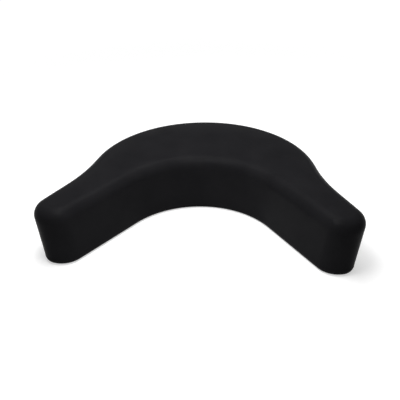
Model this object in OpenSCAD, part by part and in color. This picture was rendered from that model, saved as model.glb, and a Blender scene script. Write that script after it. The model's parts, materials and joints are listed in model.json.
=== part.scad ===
// Wraparound headrest pad: a crescent of self-skinned foam moulded round a ribbed base plate.
// Millimetres. The origin is the middle of the four fixing points on the underside, +Z points up
// through the pad, and the cradle for the head opens towards -Y.

/* [Pad outline] */
// Overall width across the tips of the wings
pad_w = 300; // [285:1:325]
// Radius of the cradle at the base
cradle_r = 80; // [76:1:84]
// Angle by which each wing turns forward
wing_angle = 55; // [52:0.5:57]
// Thickness of the middle, from the cradle to the back
middle_t = 101; // [100:1:106]
// Radius of the round back
back_r = 116; // [112:1:120]
// Radius of the hollow between the back and a wing
waist_r = 180; // [165:1:210]
// Thickness of a wing at its tip
wing_t = 39.5; // [37:0.5:44]
// Angle at which a wing thins towards its tip
wing_taper = 7; // [5:0.5:9]
// Angle by which a tip is cut back on its inner side
tip_skew = 24; // [16:1:30]
// Corner radius on the inner side of a tip
inner_tip_r = 22; // [18:1:26]
// Corner radius on the outer side of a tip
outer_tip_r = 23; // [20:1:26]

/* [Pad section] */
// Height at the rim of the top face
pad_h = 57.5; // [52:0.5:64]
// Rise of the top face at its middle
crown_h = 2; // [0.5:0.5:4]
// Radius of the top edge
edge_r = 12; // [9:1:14]
// Radius of the base edge
base_edge_r = 4; // [3:0.5:6]
// Lean of the cradle face, away from the head as it rises
cradle_lean = 3; // [1:1:6]
// Flare of the back, outwards as it rises
back_lean = 13; // [10:1:15]
// Flare of the tips, outwards as they rise
tip_lean = 1; // [0:0.5:3]
// Thickness of the skin
skin_t = 2; // [1.5:0.5:2.5]

/* [Base plate] */
// Thickness of the plate
plate_t = 4; // [3:0.5:6]
// Width of the skin's hem round the plate
plate_margin = 12; // [9:1:13]
// Distance by which the plate stops short of each tip
plate_setback = 45; // [35:1:60]
// Corner radius at the ends of the plate
plate_corner_r = 5; // [2:1:6]
// Thickness of the ribs
rib_t = 2.5; // [1.5:0.5:4]
// Height of the ribs above the plate
rib_h = 6; // [3:1:10]

/* [Fixing points] */
// Spacing of the fixing points across the pad
fix_dx = 80; // [60:1:86]
// Spacing of the fixing points from front to rear
fix_dy = 36; // [32:1:38]
// Distance from the middle of the fixing points to the cradle
cradle_gap = 37.5; // [36:0.5:38]
// Core diameter of the nut's thread
thread_d = 5; // [4:0.1:6.8]
// Diameter of the nut's barrel
barrel_d = 9; // [8:0.5:11]
// Width of the nut's hexagonal flange across its flats
flange_w = 16; // [13:0.5:18]
// Thickness of the nut's flange
flange_t = 3; // [2:0.5:4]
// Diameter of the boss round each nut
boss_d = 24; // [22:1:26]
// Height of the boss above the plate
boss_h = 4; // [4:0.5:6]
// Outside diameter of the cap over the nut
cap_d = 11; // [10:0.5:13]
// Wall of the cap
cap_wall = 1.5; // [1:0.25:2]
// Height of the cap's straight sides
cap_h = 8; // [6:1:12]
// Thickness of the cap's rim
cap_rim_t = 1.2; // [0.8:0.2:2]

/* [Hidden] */
$fn = 48;
cut = 1;

// Segments along the right half of the outline: the front and the rear have equal counts, so that
// each point on the front has a partner on the rear.
n_cradle = 8;
n_wing = 8;
n_inner = 3;
n_back = 8;
n_waist = 5;
n_outer = 5;
half_n = n_cradle + n_wing + n_inner;
ring_n = 4 * half_n + 2;
least_corner_r = 2;
corner_room = 0.95;

// Directions in plan, on the right-hand wing
wing_dir = [cos(wing_angle), -sin(wing_angle)];
wing_out = [sin(wing_angle), cos(wing_angle)];
tip_dir = cos(tip_skew) * wing_out + sin(tip_skew) * wing_dir;
tip_out = cos(tip_skew) * wing_dir - sin(tip_skew) * wing_out;
outer_dir = cos(wing_taper) * wing_dir - sin(wing_taper) * wing_out;
outer_out = sin(wing_taper) * wing_dir + cos(wing_taper) * wing_out;

// The wings are as long as the overall width asks for at the widest level, the top of the walls
wall_top = pad_h - edge_r;
cradle_c = [0, -cradle_gap - cradle_r];
wing_root = cradle_c + cradle_r * wing_out;
tip_edge = tip_dir * wing_t / cos(tip_skew);
widest = lean_in(wall_top);
widest_r = tip_radii(widest, pad_tip_radii(widest))[1];
widest_c = corner_centre(outer_corner_p(widest), -outer_dir, -tip_dir, widest_r);
wing_l = (pad_w / 2 - widest_r - (wing_root + widest_c).x) / wing_dir.x;
inner_tip = wing_root + wing_dir * wing_l;
outer_tip = inner_tip + tip_edge;

// The hollow at each side touches the round back and the outer face of the wing
back_c = [0, middle_t - cradle_gap - back_r];
waist_start = outer_tip + outer_out * waist_r - back_c;
waist_b = waist_start * outer_dir;
waist_q = waist_start * waist_start - pow(back_r + waist_r, 2);
waist_c = back_c + waist_start + outer_dir * (sqrt(waist_b * waist_b - waist_q) - waist_b);

boss_top = plate_t + boss_h;
seat_z = boss_top - flange_t;
cap_rim_d = boss_d - 2;
rib_clear = 0.5;

rows = [["front", -1], ["rear", 1]];
sides = [["left", -1], ["right", 1]];
FIXINGS = [for (r = rows) for (s = sides) [str(r[0], "_", s[0]), s[1] * fix_dx / 2, r[1] * fix_dy / 2]];

function unit(v) = v / norm(v);
function turned(a) = [cos(a), sin(a)];
function bearing(v) = atan2(v.y, v.x);
function cross2(a, b) = a.x * b.y - a.y * b.x;
function mix(p, q, f) = p + (q - p) * f;

// Where the line through p along u meets the line through q along v
function meet(p, u, q, v) = p + u * cross2(q - p, v) / cross2(u, v);

// Points on the circle about c from p to q, the short way round
function arc(c, p, q, n) =
    let (a = bearing(p - c), sweep = (bearing(q - c) - a + 540) % 360 - 180)
    [for (i = [0:n]) c + norm(p - c) * turned(a + sweep * i / n)];

// A round corner at p, between the sides that leave it along u and v
function half_angle(u, v) = acos(u * v) / 2;
function corner_reach(u, v, r) = r / tan(half_angle(u, v));
function corner_centre(p, u, v, r) = p + unit(u + v) * r / sin(half_angle(u, v));
function corner(p, u, v, r, n) =
    let (reach = corner_reach(u, v, r))
    arc(corner_centre(p, u, v, r), p + u * reach, p + v * reach, n);

// The two corners of a tip, from its inner end, with the cradle, back and tip faces set in by
// i[0], i[1] and i[2]
function inner_corner_p(i) = meet(wing_out * i[0], wing_dir, -tip_out * i[2], tip_dir);
function outer_corner_p(i) = meet(tip_edge - outer_out * i[1], outer_dir, -tip_out * i[2], tip_dir);

// The corner radii r, inner and outer, made smaller together where the tip has no room for them
function tip_radii(i, r) =
    let (
        room = corner_room * norm(outer_corner_p(i) - inner_corner_p(i)),
        reach = corner_reach(-wing_dir, tip_dir, r[0]) + corner_reach(-outer_dir, -tip_dir, r[1])
    )
    r * min(1, room / reach);
function pad_tip_radii(i) =
    [max(least_corner_r, inner_tip_r - i[0]), max(least_corner_r, outer_tip_r - i[1])];

// The plan outline with its faces set in by i, anticlockwise from the middle of the cradle
function outline(i, corner_r) =
    let (
        r = tip_radii(i, corner_r),
        inner_corner = corner(inner_tip + inner_corner_p(i), -wing_dir, tip_dir, r[0], n_inner),
        outer_corner = corner(inner_tip + outer_corner_p(i), -outer_dir, -tip_dir, r[1], n_outer),
        front_p = wing_root + wing_out * i[0],
        cradle = arc(cradle_c, cradle_c + [0, cradle_r + i[0]], front_p, n_cradle),
        wing = [for (k = [1:n_wing - 1]) mix(front_p, inner_corner[0], k / n_wing)],
        back_end = back_c + unit(waist_c - back_c) * (back_r - i[1]),
        back = arc(back_c, back_c + [0, back_r - i[1]], back_end, n_back),
        waist_end = waist_c - outer_out * (waist_r + i[1]),
        waist = arc(waist_c, back_end, waist_end, n_waist),
        front = concat(cradle, wing, inner_corner),
        rear = concat(back, [for (k = [1:n_waist]) waist[k]], outer_corner)
    )
    concat(
        front,
        [for (k = [half_n:-1:0]) rear[k]],
        [for (k = [1:half_n]) [-rear[k].x, rear[k].y]],
        [for (k = [half_n:-1:1]) [-front[k].x, front[k].y]]
    );

// How far the cradle, back and tip faces lie inside the widest outline at height z
function lean_in(z) =
    let (below = max(0, wall_top - z))
    [z * tan(cradle_lean), below * tan(back_lean), below * tan(tip_lean)];

// The level outline at height z, set in by inset all round
function ring(z, inset) =
    let (i = lean_in(z) + inset * [1, 1, 1])
    [for (p = outline(i, pad_tip_radii(i))) [p.x, p.y, z]];

function wrap(k) = (k + ring_n) % ring_n;
function partner(k) = wrap(2 * half_n + 1 - k);

// The top rim drawn a share u of the way to the line midway between front and rear, and raised in
// proportion to the width there
function crown_ring(rim, u) =
    let (middle_w = norm(rim[0] - rim[partner(0)]), rise = crown_h * u * (2 - u))
    [
        for (k = [0:ring_n - 1])
            let (across = rim[partner(k)] - rim[k])
            rim[k] + across * u / 2 + [0, 0, rise * norm(across) / middle_w]
    ];

// The pad's form, set in by inset all over: rings of points from the base edge up to the crown
module form(inset, base_steps, edge_steps, crown_steps) {
    low_r = base_edge_r - inset;
    top_r = edge_r - inset;
    base_rings = [
        for (k = [0:base_steps])
            let (a = 90 * k / base_steps)
            ring(inset + low_r * (1 - cos(a)), inset + low_r * (1 - sin(a)))
    ];
    edge_rings = [
        for (k = [0:edge_steps])
            let (a = 90 * k / edge_steps)
            ring(wall_top + top_r * sin(a), inset + top_r * (1 - cos(a)))
    ];
    rim = edge_rings[edge_steps];
    crown_rings = [for (k = [1:crown_steps]) crown_ring(rim, k / (crown_steps + 1))];
    rings = concat(base_rings, edge_rings, crown_rings);
    last = (len(rings) - 1) * ring_n;
    walls = [
        for (j = [0:len(rings) - 2])
            for (k = [0:ring_n - 1])
                let (a = j * ring_n + k, b = j * ring_n + wrap(k + 1))
                each [[a, a + ring_n, b + ring_n], [a, b + ring_n, b]]
    ];
    caps = [
        for (k = [-half_n:half_n - 1])
            let (a = wrap(k), b = wrap(k + 1), c = partner(b), d = partner(a))
            each [
                [a, b, c],
                [a, c, d],
                [last + a, last + d, last + c],
                [last + a, last + c, last + b]
            ]
    ];
    polyhedron(points = [for (r = rings) each r], faces = concat(walls, caps), convexity = 6);
}

module inner_form() form(skin_t, 1, 2, 1);

module at_fixings() for (f = FIXINGS) translate([f[1], f[2], 0]) children();

// The plate's outline, with its edge moved in by inset
module plate_outline(inset) {
    room = plate_margin + inset;
    i = lean_in(0) + [room, room, plate_setback + inset];
    polygon(outline(i, plate_corner_r * [1, 1]));
}

// The black outer layer, open underneath where it is hemmed round the base plate
module pad_skin() {
    color("#1d1c1e")
    difference() {
        form(0, 2, 4, 2);
        inner_form();
        translate([0, 0, -cut]) linear_extrude(skin_t + 2 * cut) plate_outline(0);
    }
}

// The foam that fills the skin and grips the ribs of the plate
module foam_core() {
    color("#4a484a")
    difference() {
        inner_form();
        plate_body();
        at_fixings() cap_outside();
    }
}

// Ribs along the rim, through the middle and through each pair of nuts
module rib_lines() {
    difference() {
        plate_outline(0);
        plate_outline(rib_t);
    }
    intersection() {
        plate_outline(rib_t / 2);
        for (x = [-1:1])
            translate([x * fix_dx / 2 - rib_t / 2, -pad_w / 2]) square([rib_t, pad_w]);
    }
}

// The ribs run into the bosses, and drop to their height round each cap
module plate_body() {
    linear_extrude(plate_t) plate_outline(0);
    linear_extrude(boss_top) intersection() {
        plate_outline(0);
        at_fixings() circle(d = boss_d);
    }
    difference() {
        linear_extrude(plate_t + rib_h) rib_lines();
        at_fixings() translate([0, 0, boss_top]) cylinder(d = boss_d + 2 * rib_clear, h = rib_h);
    }
}

// The moulded-in carrier, with a stepped seat for each nut
module base_plate() {
    color("#2b2b2d")
    difference() {
        plate_body();
        at_fixings() nut_outside();
    }
}

module hexagon(width, height) cylinder(d = width / cos(30), h = height, $fn = 6);

module nut_outside() {
    cylinder(d = barrel_d, h = boss_top);
    translate([0, 0, seat_z]) hexagon(flange_w, flange_t);
}

// Flanged nut: the barrel ends flush with the underside, and the flange stops it from turning
module tee_nut() {
    color("#b9bbb8")
    difference() {
        nut_outside();
        translate([0, 0, -cut]) cylinder(d = thread_d, h = boss_top + 2 * cut);
    }
}

module cap_dome(d) {
    cylinder(d = d, h = cap_h);
    translate([0, 0, cap_h]) sphere(d = d);
}

module cap_outside() {
    translate([0, 0, boss_top]) {
        cylinder(d = cap_rim_d, h = cap_rim_t);
        cap_dome(cap_d);
    }
}

// Domed cap that keeps the foam out of the thread
module nut_cap() {
    color("#d8d6cf")
    difference() {
        cap_outside();
        translate([0, 0, boss_top]) cap_dome(cap_d - 2 * cap_wall);
        translate([0, 0, boss_top - cut]) cylinder(d = cap_d - 2 * cap_wall, h = 2 * cut);
    }
}

pad_skin();
foam_core();
base_plate();
for (f = FIXINGS) {
    place = [f[1], f[2], 0];
    translate(place) tee_nut();
    translate(place) nut_cap();
}
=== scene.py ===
import json
from math import cos, pi, radians, sin, sqrt, tan

import bmesh
import bpy
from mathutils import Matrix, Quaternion, Vector

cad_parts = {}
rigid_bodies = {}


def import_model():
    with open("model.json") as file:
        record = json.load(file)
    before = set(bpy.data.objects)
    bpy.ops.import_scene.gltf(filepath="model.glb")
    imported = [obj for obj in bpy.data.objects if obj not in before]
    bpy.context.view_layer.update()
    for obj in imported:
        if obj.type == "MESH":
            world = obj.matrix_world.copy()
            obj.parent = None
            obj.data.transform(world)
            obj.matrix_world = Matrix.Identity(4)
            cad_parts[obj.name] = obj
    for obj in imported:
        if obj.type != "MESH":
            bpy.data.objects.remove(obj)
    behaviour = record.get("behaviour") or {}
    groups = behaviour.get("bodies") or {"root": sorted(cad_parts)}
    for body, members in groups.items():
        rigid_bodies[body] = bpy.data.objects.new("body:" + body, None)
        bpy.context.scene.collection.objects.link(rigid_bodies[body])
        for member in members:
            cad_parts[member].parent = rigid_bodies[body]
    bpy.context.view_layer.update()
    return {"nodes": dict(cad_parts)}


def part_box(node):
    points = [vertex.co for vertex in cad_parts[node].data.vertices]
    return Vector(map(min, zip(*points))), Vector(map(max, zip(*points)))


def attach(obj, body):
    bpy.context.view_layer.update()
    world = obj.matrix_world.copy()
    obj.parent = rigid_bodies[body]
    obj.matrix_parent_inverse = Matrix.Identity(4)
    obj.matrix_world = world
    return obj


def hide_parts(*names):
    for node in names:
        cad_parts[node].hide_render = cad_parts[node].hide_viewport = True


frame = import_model()


# Base plate: the flat carrier under the pad, injection moulded in black polypropylene. It lies in
# the lid of the mould while the foam is poured, and its ribs lock it into the foam.
MM = 0.001
PLATE_BLACK = (0.021, 0.021, 0.022, 1)
PLATE_GREY = (0.034, 0.034, 0.036, 1)


def new_finish(name):
    finish = bpy.data.materials.new(name)
    finish.use_nodes = True
    return finish, finish.node_tree, finish.node_tree.nodes["Principled BSDF"]


def add_node(tree, kind, inputs, **settings):
    made = tree.nodes.new(kind)
    for key, value in settings.items():
        setattr(made, key, value)
    for socket, value in inputs.items():
        if isinstance(value, bpy.types.NodeSocket):
            tree.links.new(value, made.inputs[socket])
        else:
            made.inputs[socket].default_value = value
    return made


def place_on_piece(tree):
    return add_node(tree, "ShaderNodeTexCoord", {}).outputs["Object"]


def specks(tree, place, size, detail):
    """Random light and dark patches of about the given size."""
    return add_node(
        tree,
        "ShaderNodeTexNoise",
        {"Vector": place, "Scale": 1 / size, "Detail": detail},
    ).outputs["Fac"]


def two_tone(tree, amount, low, high, dark, light):
    """Colours from dark to light as the amount goes from low to high."""
    ramp = add_node(tree, "ShaderNodeValToRGB", {"Fac": amount})
    for end, position, colour in zip(ramp.color_ramp.elements, (low, high), (dark, light)):
        end.position = position
        end.color = colour
    return ramp.outputs["Color"]


def spread(tree, amount, low, high):
    """The amount, which is mostly between 0.3 and 0.7, spread from low to high."""
    return add_node(
        tree,
        "ShaderNodeMapRange",
        {"Value": amount, "From Min": 0.3, "From Max": 0.7, "To Min": low, "To Max": high},
    ).outputs["Result"]


def set_bump(tree, shader, height, strength, depth):
    bump = add_node(tree, "ShaderNodeBump", {"Height": height, "Strength": strength, "Distance": depth})
    tree.links.new(bump.outputs["Normal"], shader.inputs["Normal"])


def give_finish(piece, finish):
    piece.data.materials.clear()
    piece.data.materials.append(finish)


def moulded_polypropylene():
    finish, tree, shader = new_finish("moulded_polypropylene")
    place = place_on_piece(tree)
    flow = specks(tree, place, size=40 * MM, detail=5)
    colour = two_tone(tree, flow, low=0.35, high=0.7, dark=PLATE_BLACK, light=PLATE_GREY)
    tree.links.new(colour, shader.inputs["Base Color"])
    tree.links.new(spread(tree, flow, low=0.5, high=0.66), shader.inputs["Roughness"])
    shader.inputs["Specular IOR Level"].default_value = 0.35
    grain = specks(tree, place, size=0.4 * MM, detail=3)
    set_bump(tree, shader, grain, strength=0.4, depth=0.04 * MM)
    return finish


give_finish(frame["nodes"]["base_plate"], moulded_polypropylene())


# Tee nuts: steel nuts with a hexagonal flange, pressed into seats in the plate from above, with the
# end of the barrel flush with the underside. They are turned, tapped and zinc plated.
CORNERS = ("front_left", "front_right", "rear_left", "rear_right")
ZINC_PALE = (0.66, 0.67, 0.66, 1)
ZINC_DULL = (0.45, 0.46, 0.46, 1)


def zinc_plate():
    finish, tree, shader = new_finish("zinc_plate")
    place = place_on_piece(tree)
    clouds = specks(tree, place, size=2.4 * MM, detail=4)
    colour = two_tone(tree, clouds, low=0.3, high=0.7, dark=ZINC_DULL, light=ZINC_PALE)
    tree.links.new(colour, shader.inputs["Base Color"])
    tree.links.new(spread(tree, clouds, low=0.42, high=0.26), shader.inputs["Roughness"])
    shader.inputs["Metallic"].default_value = 1
    crystals = specks(tree, place, size=0.2 * MM, detail=2)
    set_bump(tree, shader, crystals, strength=0.25, depth=0.02 * MM)
    return finish


nut_finish = zinc_plate()
for corner in CORNERS:
    give_finish(frame["nodes"]["tee_nut_" + corner], nut_finish)


# Nut caps: thin domed caps of natural polyethylene, laid over the nuts before the foam is poured, so
# that it stays out of the threads.
CAP_MILKY = (0.67, 0.66, 0.62, 1)
CAP_CLOUDED = (0.58, 0.57, 0.53, 1)


def natural_polyethylene():
    finish, tree, shader = new_finish("natural_polyethylene")
    place = place_on_piece(tree)
    clouds = specks(tree, place, size=6 * MM, detail=3)
    colour = two_tone(tree, clouds, low=0.35, high=0.65, dark=CAP_CLOUDED, light=CAP_MILKY)
    tree.links.new(colour, shader.inputs["Base Color"])
    tree.links.new(spread(tree, clouds, low=0.36, high=0.5), shader.inputs["Roughness"])
    grain = specks(tree, place, size=0.3 * MM, detail=2)
    set_bump(tree, shader, grain, strength=0.2, depth=0.03 * MM)
    return finish


cap_finish = natural_polyethylene()
for corner in CORNERS:
    give_finish(frame["nodes"]["nut_cap_" + corner], cap_finish)


# Skin: the black outer layer, solid polyurethane that is sprayed into the mould before the foam. It
# is one piece with rounded edges all over, and ends underneath in a flat hem round the base plate.
SKIN_T = 2 * MM
PAD_W = 300 * MM
RIM_Z = 57.5 * MM
CROWN = 2 * MM
EDGE_R = 12 * MM
BASE_EDGE_R = 4 * MM
CRADLE_LEAN = radians(3)
BACK_LEAN = radians(13)
TIP_LEAN = radians(1)
PARTING_Z = 5 * MM
PARTING_W = 0.4 * MM
PARTING_H = 0.25 * MM
INNER_WALL = (0.25, 0.5)
OUTER_WALL = (0.2, 0.32, 0.45, 0.6, 0.7, 0.76)

CRADLE_R = 80 * MM
CRADLE_GAP = 37.5 * MM
BACK_R = 116 * MM
WAIST_R = 180 * MM
WING_ANGLE = radians(55)
WING_T = 39.5 * MM
WING_TAPER = radians(7)
TIP_SKEW = radians(24)
INNER_TIP_R = 22 * MM
OUTER_TIP_R = 23 * MM
LEAST_TIP_R = 2 * MM
TIP_ROOM = 0.95
TIP_GATHER = 0.3
TIP_HOLD = 0.5

HEM_W = 12 * MM
TIP_HEM_W = 45 * MM
HEM_CORNER_R = 5 * MM
HEM_GAP = 0.25 * MM
HEM_LIP = 0.6 * MM

CRADLE_STEPS = 14
WING_STEPS = 12
CORNER_STEPS = 12
WAIST_STEPS = 9
BACK_STEPS = 16
MIDDLE_MERGE = 0.01 * MM

SKIN_BLACK = (0.0099, 0.0098, 0.0109, 1)
SKIN_GREY = (0.0127, 0.0125, 0.0137, 1)
SKIN_GRAIN = 0.7 * MM


def facing(angle):
    return Vector((cos(angle), sin(angle)))


def crossing(p, u, q, v):
    """Where the line through p along u meets the line through q along v."""
    return p + u * (q - p).cross(v) / u.cross(v)


# Directions in plan on the right-hand wing: along it and out of its back, then the same for its
# tip and for its outer face, which draws in towards the tip.
along = facing(-WING_ANGLE)
outward = facing(pi / 2 - WING_ANGLE)
tip_outward = facing(-WING_ANGLE - TIP_SKEW)
tip_along = facing(pi / 2 - WING_ANGLE - TIP_SKEW)
outer_along = facing(-WING_ANGLE - WING_TAPER)
outer_outward = facing(pi / 2 - WING_ANGLE - WING_TAPER)
inner_turn = along.angle(tip_along)
outer_turn = tip_along.angle(-outer_along)


def tip_shape(front, back, tip, inner_r, outer_r):
    """A tip's two corner points, counted from its inner corner, and their radii, cut down together where
    the tip has no room for them. The cradle, back and tip faces are set in by front, back and tip."""
    tip_side = -tip_outward * tip
    far_side = tip_along * WING_T / cos(TIP_SKEW) - outer_outward * back
    inner_p = crossing(outward * front, along, tip_side, tip_along)
    outer_p = crossing(far_side, outer_along, tip_side, tip_along)
    reach = inner_r * tan(inner_turn / 2) + outer_r * tan(outer_turn / 2)
    share = min(1, TIP_ROOM * (outer_p - inner_p).length / reach)
    return inner_p, outer_p, inner_r * share, outer_r * share


def pad_level(z, inset):
    """The pad's outline at height z, where its faces lean, set in by inset all round."""
    below = max(0, RIM_Z - EDGE_R - z)
    front = z * tan(CRADLE_LEAN) + inset
    back = below * tan(BACK_LEAN) + inset
    tip = below * tan(TIP_LEAN) + inset
    inner_r = max(LEAST_TIP_R, INNER_TIP_R - front)
    outer_r = max(LEAST_TIP_R, OUTER_TIP_R - back)
    return z, front, back, tip, inner_r, outer_r


def hem_level(z, out):
    """The edge of the hem at height z, moved out from the plate."""
    _, front, back, tip, _, _ = pad_level(0, -out)
    return z, front + HEM_W, back + HEM_W, tip + TIP_HEM_W, HEM_CORNER_R, HEM_CORNER_R


# The wings are as long as the overall width asks for where the pad is widest, under the top edge.
cradle_c = Vector((0, -CRADLE_GAP - CRADLE_R))
back_c = Vector((0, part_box("pad_skin")[1].y - BACK_R))
wing_root = cradle_c + outward * CRADLE_R
_, widest_p, _, widest_r = tip_shape(*pad_level(RIM_Z - EDGE_R, 0)[1:])
widest_c = widest_p - tip_along * widest_r * tan(outer_turn / 2) - tip_outward * widest_r
inner_tip = wing_root + along * (PAD_W / 2 - widest_r - wing_root.x - widest_c.x) / along.x

# The hollow at each side touches the round back and the outer face of the wing.
far_tip = inner_tip + tip_along * WING_T / cos(TIP_SKEW)
to_waist = far_tip + outer_outward * WAIST_R - back_c
half_way = to_waist.dot(outer_along)
run = sqrt(half_way**2 - to_waist.length_squared + (BACK_R + WAIST_R) ** 2) - half_way
waist_c = back_c + to_waist + outer_along * run
waist_turn = (-outer_outward).angle(back_c - waist_c)
back_turn = (waist_c - back_c).angle(Vector((0, 1)))


def in_edit():
    mesh = bmesh.from_edit_mesh(bpy.context.object.data)
    mesh.verts.index_update()
    mesh.verts.ensure_lookup_table()
    return mesh


def start_line(point):
    bpy.ops.mesh.select_all(action="DESELECT")
    bpy.ops.mesh.primitive_plane_add(size=MM, location=point)
    bpy.ops.mesh.merge(type="CENTER")


def pen():
    return next(v.co.copy() for v in in_edit().verts if v.select)


def carry_round(centre, turn, steps):
    """Carries the line on round a centre, anticlockwise where the turn is positive."""
    bpy.ops.mesh.spin(steps=steps, angle=turn, center=(*centre, pen().z), axis=(0, 0, -1))


def carry_to(point, steps):
    stride = (Vector((*point, pen().z)) - pen()) / steps
    for _ in range(steps):
        bpy.ops.mesh.extrude_region_move(TRANSFORM_OT_translate={"value": stride})


def draw_half_outline(z, front, back, tip, inner_r, outer_r):
    """Draws the right half of a level outline, from the middle of the cradle round the tip to the middle
    of the back, and returns its points. The hem's tip lies beyond the start of the hollow at the side, so
    its outline enters the hollow later."""
    inner_p, outer_p, inner_r, outer_r = tip_shape(front, back, tip, inner_r, outer_r)
    inner_start = inner_tip + inner_p - along * inner_r * tan(inner_turn / 2)
    outer_start = inner_tip + outer_p - tip_along * outer_r * tan(outer_turn / 2)
    outer_end = inner_tip + outer_p - outer_along * outer_r * tan(outer_turn / 2)
    waist_r = WAIST_R + back
    passed = max(0, (waist_c - outer_end).dot(outer_along)) / waist_r
    entry = passed + (waist_turn - passed) / (WAIST_STEPS + 1) if passed else 0
    waist_start = waist_c - facing(pi / 2 - WING_ANGLE - WING_TAPER - entry) * waist_r
    start_line((0, cradle_c.y + CRADLE_R + front, z))
    carry_round(cradle_c, -WING_ANGLE, CRADLE_STEPS)
    carry_to(inner_start, WING_STEPS)
    carry_round(inner_start + outward * inner_r, inner_turn, CORNER_STEPS)
    carry_to(outer_start, 1)
    carry_round(outer_start - tip_outward * outer_r, outer_turn, CORNER_STEPS)
    carry_to(waist_start, 1)
    carry_round(waist_c, entry - waist_turn, WAIST_STEPS)
    carry_round(back_c, back_turn, BACK_STEPS)
    bpy.ops.mesh.select_linked()
    return [v.index for v in in_edit().verts if v.select]


def select_points(points):
    bpy.ops.mesh.select_all(action="DESELECT")
    mesh = in_edit()
    for index in points:
        mesh.verts[index].select = True
    mesh.select_flush(True)


def skin_over(lines):
    """Covers the space between each line and the next."""
    for line, following in zip(lines, lines[1:]):
        select_points(line + following)
        bpy.ops.mesh.bridge_edge_loops()


def in_order(line):
    """The points of a line, from the middle of the cradle to the middle of the back."""
    mesh = in_edit()
    left = set(line)
    middle = [i for i in line if mesh.verts[i].co.x < MM]
    walk = [min(middle, key=lambda i: mesh.verts[i].co.y)]
    left.remove(walk[0])
    while left:
        ends = [e.other_vert(mesh.verts[walk[-1]]).index for e in mesh.verts[walk[-1]].link_edges]
        walk.append(next(i for i in ends if i in left))
        left.remove(walk[-1])
    return walk


def close_over(line, crown, shares):
    """Draws a rim in towards the line midway between front and rear, lifting it by up to crown, and
    closes it. Each share is how far in the next step goes. Round a tip the points gather near the tip's
    root, and those at its end are held back."""
    rim = in_order(line)
    start = [in_edit().verts[i].co.copy() for i in rim]
    middles = [(here + there) / 2 for here, there in zip(start, reversed(start))]
    widths = [(there - here).length for here, there in zip(start, reversed(start))]
    half = len(rim) // 2
    root = half - 1 - CORNER_STEPS
    for k in range(root + 1, len(rim) - 1 - root):
        middles[k] = middles[root].lerp(middles[k], TIP_GATHER)
        widths[k] = widths[root]
    for share in shares:
        select_points(rim)
        bpy.ops.mesh.extrude_region_move()
        mesh = in_edit()
        stepped = []
        for k, (index, here, middle, width) in enumerate(zip(rim, start, middles, widths)):
            nearness = max(0, 1 - abs(k - half + 0.5) / CORNER_STEPS)
            reach = share * (1 - TIP_HOLD * nearness)
            point = mesh.verts[index]
            new = next(e.other_vert(point) for e in point.link_edges if e.other_vert(point).select)
            lift = crown * reach * (2 - reach) * width / widths[0]
            new.co = here.lerp(middle, reach) + Vector((0, 0, lift))
            stepped.append(new.index)
        rim = stepped
    select_points(rim)
    bpy.ops.mesh.select_mode(type="EDGE")
    mesh = in_edit()
    tip_ends = {rim[half - 1], rim[half]}
    for edge in mesh.edges:
        if {v.index for v in edge.verts} == tip_ends:
            edge.select = False
    bpy.ops.mesh.bridge_edge_loops()
    bpy.ops.mesh.select_mode(type="VERT")


def quarter_round(steps):
    return [pi / 2 * k / steps for k in range(steps + 1)]


def round_edges(inset, base_steps, edge_steps):
    """Levels of the base edge and of the top edge, set in by inset."""
    low_r = BASE_EDGE_R - inset
    base = []
    for angle in quarter_round(base_steps):
        base.append(pad_level(inset + low_r * (1 - cos(angle)), inset + low_r * (1 - sin(angle))))
    top_r = EDGE_R - inset
    top = []
    for angle in quarter_round(edge_steps):
        top.append(pad_level(RIM_Z - EDGE_R + top_r * sin(angle), inset + top_r * (1 - cos(angle))))
    return base, top


def start_piece(name):
    bpy.ops.object.select_all(action="DESELECT")
    bpy.ops.mesh.primitive_plane_add(size=MM)
    bpy.context.object.name = name
    bpy.ops.object.mode_set(mode="EDIT")
    bpy.ops.mesh.delete(type="VERT")
    return bpy.context.object


def both_sides(piece, smoothing):
    """Mirrors the half that was drawn, turns all faces outwards and smooths the surface."""
    bpy.ops.object.mode_set(mode="OBJECT")
    mirror = piece.modifiers.new("other_side", "MIRROR")
    mirror.merge_threshold = MIDDLE_MERGE
    bpy.ops.object.modifier_apply(modifier=mirror.name)
    bpy.ops.object.mode_set(mode="EDIT")
    bpy.ops.mesh.select_all(action="SELECT")
    bpy.ops.mesh.normals_make_consistent(inside=False)
    bpy.ops.object.mode_set(mode="OBJECT")
    rounding = piece.modifiers.new("rounding", "SUBSURF")
    rounding.levels = smoothing
    rounding.render_levels = smoothing
    bpy.ops.object.modifier_apply(modifier=rounding.name)
    bpy.ops.object.shade_smooth()


skin = start_piece("skin")
inner_base, inner_top = round_edges(SKIN_T, base_steps=2, edge_steps=3)
outer_base, outer_top = round_edges(0, base_steps=3, edge_steps=8)
inner_wall = [pad_level(RIM_Z * share, SKIN_T) for share in INNER_WALL]
hem = [
    hem_level(SKIN_T, HEM_GAP + HEM_LIP),
    hem_level(SKIN_T, HEM_GAP),
    hem_level(0, HEM_GAP),
    hem_level(0, HEM_GAP + HEM_LIP),
]
under = [pad_level(0, 2 * BASE_EDGE_R)]
parting = [
    pad_level(PARTING_Z - PARTING_W, 0),
    pad_level(PARTING_Z, -PARTING_H),
    pad_level(PARTING_Z + PARTING_W, 0),
]
outer_wall = [pad_level(RIM_Z * share, 0) for share in OUTER_WALL]
inside = list(reversed(inner_base + inner_wall + inner_top))
levels = inside + hem + under + outer_base + parting + outer_wall + outer_top
lines = [draw_half_outline(*level) for level in levels]
skin_over(lines)
close_over(lines[0], CROWN, shares=(0.3, 0.7))
close_over(lines[-1], CROWN, shares=(0.12, 0.3, 0.55, 0.8))
both_sides(skin, smoothing=1)


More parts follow.
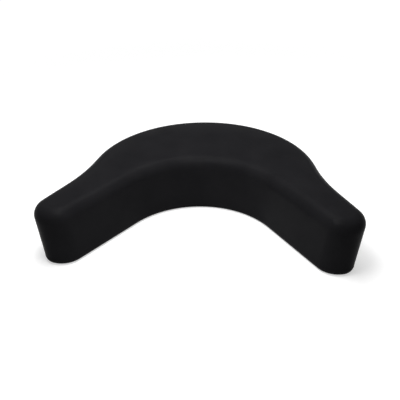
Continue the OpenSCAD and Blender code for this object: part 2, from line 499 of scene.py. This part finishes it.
def black_skin():
    finish, tree, shader = new_finish("black_skin")
    place = place_on_piece(tree)
    clouds = specks(tree, place, size=30 * MM, detail=4)
    colour = two_tone(tree, clouds, low=0.3, high=0.7, dark=SKIN_BLACK, light=SKIN_GREY)
    tree.links.new(colour, shader.inputs["Base Color"])
    tree.links.new(spread(tree, clouds, low=0.32, high=0.38), shader.inputs["Roughness"])
    shader.inputs["Specular IOR Level"].default_value = 0.012
    grain = add_node(
        tree,
        "ShaderNodeTexVoronoi",
        {"Vector": place, "Scale": 1 / SKIN_GRAIN, "Smoothness": 0.5},
        feature="SMOOTH_F1",
    ).outputs["Distance"]
    set_bump(tree, shader, grain, strength=0.35, depth=0.06 * MM)
    return finish


give_finish(skin, black_skin())
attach(skin, "root")
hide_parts("pad_skin")


# Foam: flexible polyurethane, poured behind the skin, where it rises, fills the mould and sets round
# the ribs of the plate and over the caps, which hold the plate in place for good.
FOAM_EASE = 0.05 * MM
FOAM_GREY = (0.035, 0.034, 0.036, 1)
FOAM_PALE = (0.062, 0.06, 0.062, 1)
FOAM_CELL = 0.6 * MM
COPY_MERGE = 0.001 * MM
FOAM_MERGE = 0.005 * MM

foam = start_piece("foam")
foam_base, foam_top = round_edges(SKIN_T + FOAM_EASE, base_steps=2, edge_steps=4)
foam_wall = [pad_level(RIM_Z * share, SKIN_T + FOAM_EASE) for share in INNER_WALL]
lines = [draw_half_outline(*level) for level in foam_base + foam_wall + foam_top]
skin_over(lines)
close_over(lines[0], 0, shares=(0.5,))
close_over(lines[-1], CROWN, shares=(0.3, 0.7))
both_sides(foam, smoothing=1)


def set_foam_round(node):
    """Takes the space of a finished part out of the foam, by a copy of it with its points merged."""
    bpy.ops.object.select_all(action="DESELECT")
    bpy.context.view_layer.objects.active = node
    node.select_set(True)
    bpy.ops.object.duplicate()
    copy = bpy.context.object
    bpy.ops.object.mode_set(mode="EDIT")
    bpy.ops.mesh.select_all(action="SELECT")
    bpy.ops.mesh.remove_doubles(threshold=COPY_MERGE)
    bpy.ops.object.mode_set(mode="OBJECT")
    bpy.context.view_layer.objects.active = foam
    room = foam.modifiers.new("room_for_part", "BOOLEAN")
    room.operation = "DIFFERENCE"
    room.solver = "EXACT"
    room.object = copy
    bpy.ops.object.modifier_apply(modifier=room.name)
    bpy.data.objects.remove(copy)


def drop_foam_under_caps():
    """Leaves the one body of foam, without what is shut in between the caps and the nuts."""
    bpy.ops.object.mode_set(mode="EDIT")
    mesh = in_edit()
    highest = max(mesh.verts, key=lambda v: v.co.z)
    select_points([highest.index])
    bpy.ops.mesh.select_linked()
    bpy.ops.mesh.select_all(action="INVERT")
    bpy.ops.mesh.delete(type="VERT")
    bpy.ops.mesh.select_all(action="SELECT")
    bpy.ops.mesh.remove_doubles(threshold=FOAM_MERGE)
    bpy.ops.mesh.dissolve_degenerate(threshold=FOAM_MERGE)
    bpy.ops.object.mode_set(mode="OBJECT")


set_foam_round(frame["nodes"]["base_plate"])
for corner in CORNERS:
    set_foam_round(frame["nodes"]["nut_cap_" + corner])
bpy.ops.object.select_all(action="DESELECT")
foam.select_set(True)
drop_foam_under_caps()


def open_foam():
    finish, tree, shader = new_finish("open_foam")
    place = place_on_piece(tree)
    clouds = specks(tree, place, size=12 * MM, detail=4)
    colour = two_tone(tree, clouds, low=0.3, high=0.7, dark=FOAM_GREY, light=FOAM_PALE)
    tree.links.new(colour, shader.inputs["Base Color"])
    tree.links.new(spread(tree, clouds, low=0.85, high=0.95), shader.inputs["Roughness"])
    shader.inputs["Specular IOR Level"].default_value = 0.1
    cells = add_node(tree, "ShaderNodeTexVoronoi", {"Vector": place, "Scale": 1 / FOAM_CELL})
    set_bump(tree, shader, cells.outputs["Distance"], strength=0.8, depth=0.2 * MM)
    return finish


give_finish(foam, open_foam())
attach(foam, "root")
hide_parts("foam_core")


# Studio: a white table under two soft boxes, one above the open side of the cradle and one above the
# back, in a dim room that is bright only near the horizon. The table is shown white, and keeps the
# pad's shadow.
TABLE_SIZE = 8
TABLE_WHITE = (0.7, 0.7, 0.7, 1)
TABLE_NEAR = 0.25
TABLE_FAR = 0.75
NEAR_LIFT = 0.55
FAR_LIFT = 0.92
ROOM_LIGHT = 0.14
HORIZON_SEEN = 1
CEILING_SEEN = 0.03
HORIZON_TOP = 0.07
CEILING_FROM = 0.22

bpy.ops.object.select_all(action="DESELECT")
bpy.ops.mesh.primitive_plane_add(size=TABLE_SIZE)
table = bpy.context.object
table.name = "table"


def seen_directly(tree):
    """1 for what the camera sees straight on, in a reflection or through something clear."""
    path = add_node(tree, "ShaderNodeLightPath", {})
    seen = path.outputs["Is Camera Ray"]
    for kind in ("Is Glossy Ray", "Is Transmission Ray"):
        either = add_node(tree, "ShaderNodeMath", {0: seen, 1: path.outputs[kind]}, operation="MAXIMUM")
        seen = either.outputs["Value"]
    return seen


def white_table():
    finish, tree, shader = new_finish("white_table")
    shader.inputs["Base Color"].default_value = TABLE_WHITE
    shader.inputs["Roughness"].default_value = 0.9
    shader.inputs["Specular IOR Level"].default_value = 0
    shader.inputs["Emission Color"].default_value = (1, 1, 1, 1)
    away = add_node(tree, "ShaderNodeVectorMath", {0: place_on_piece(tree)}, operation="LENGTH")
    lift = add_node(
        tree,
        "ShaderNodeMapRange",
        {
            "Value": away.outputs["Value"],
            "From Min": TABLE_NEAR,
            "From Max": TABLE_FAR,
            "To Min": NEAR_LIFT,
            "To Max": FAR_LIFT,
        },
    )
    shown = add_node(
        tree,
        "ShaderNodeMath",
        {0: seen_directly(tree), 1: lift.outputs["Result"]},
        operation="MULTIPLY",
    )
    tree.links.new(shown.outputs["Value"], shader.inputs["Emission Strength"])
    return finish


give_finish(table, white_table())


def hang_lamp(place, width, depth, watts):
    """A soft box that faces the pad."""
    bpy.ops.object.light_add(type="AREA", location=place)
    lamp = bpy.context.object
    lamp.data.shape = "RECTANGLE"
    lamp.data.size = width
    lamp.data.size_y = depth
    lamp.data.energy = watts
    lamp.rotation_euler = Vector(place).to_track_quat("Z", "Y").to_euler()


hang_lamp((-0.04, -0.17, 0.38), width=0.2, depth=0.2, watts=1.1)
hang_lamp((-0.03, 0.05, 0.45), width=0.4, depth=0.2, watts=1.45)

room = bpy.data.worlds.new("room")
room.use_nodes = True
bpy.context.scene.world = room
room_tree = room.node_tree
background = room_tree.nodes["Background"]
background.inputs["Color"].default_value = (1, 1, 1, 1)
direction = add_node(room_tree, "ShaderNodeTexCoord", {}).outputs["Object"]
room_seen = add_node(
    room_tree,
    "ShaderNodeMapRange",
    {
        "Value": add_node(room_tree, "ShaderNodeSeparateXYZ", {"Vector": direction}).outputs["Z"],
        "From Min": HORIZON_TOP,
        "From Max": CEILING_FROM,
        "To Min": HORIZON_SEEN,
        "To Max": CEILING_SEEN,
    },
).outputs["Result"]
room_level = add_node(
    room_tree,
    "ShaderNodeMapRange",
    {"Value": seen_directly(room_tree), "To Min": ROOM_LIGHT, "To Max": room_seen},
)
room_tree.links.new(room_level.outputs["Result"], background.inputs["Strength"])


# Camera: above the open side of the cradle and a little to the right, where the photograph was taken,
# with the same slight roll. It looks down at the pad from about 0.6 m.
SHOT_AT = Vector((-2.2, -65.8, 28)) * MM
SHOT_FROM = 611.5 * MM
SHOT_TURN = radians(5.03)
SHOT_TILT = radians(32.09)
SHOT_ROLL = radians(-0.87)
LENS = 55.11

shot_level = Vector((sin(SHOT_TURN), -cos(SHOT_TURN), 0))
shot_back = shot_level * cos(SHOT_TILT) + Vector((0, 0, sin(SHOT_TILT)))
bpy.ops.object.camera_add(location=SHOT_AT + shot_back * SHOT_FROM)
camera = bpy.context.object
level_look = shot_back.to_track_quat("Z", "Y")
camera.rotation_euler = (Quaternion(shot_back, SHOT_ROLL) @ level_look).to_euler()
camera.data.lens = LENS
camera.data.clip_start = 0.01
bpy.context.scene.camera = camera
bpy.context.scene.view_settings.view_transform = "Standard"
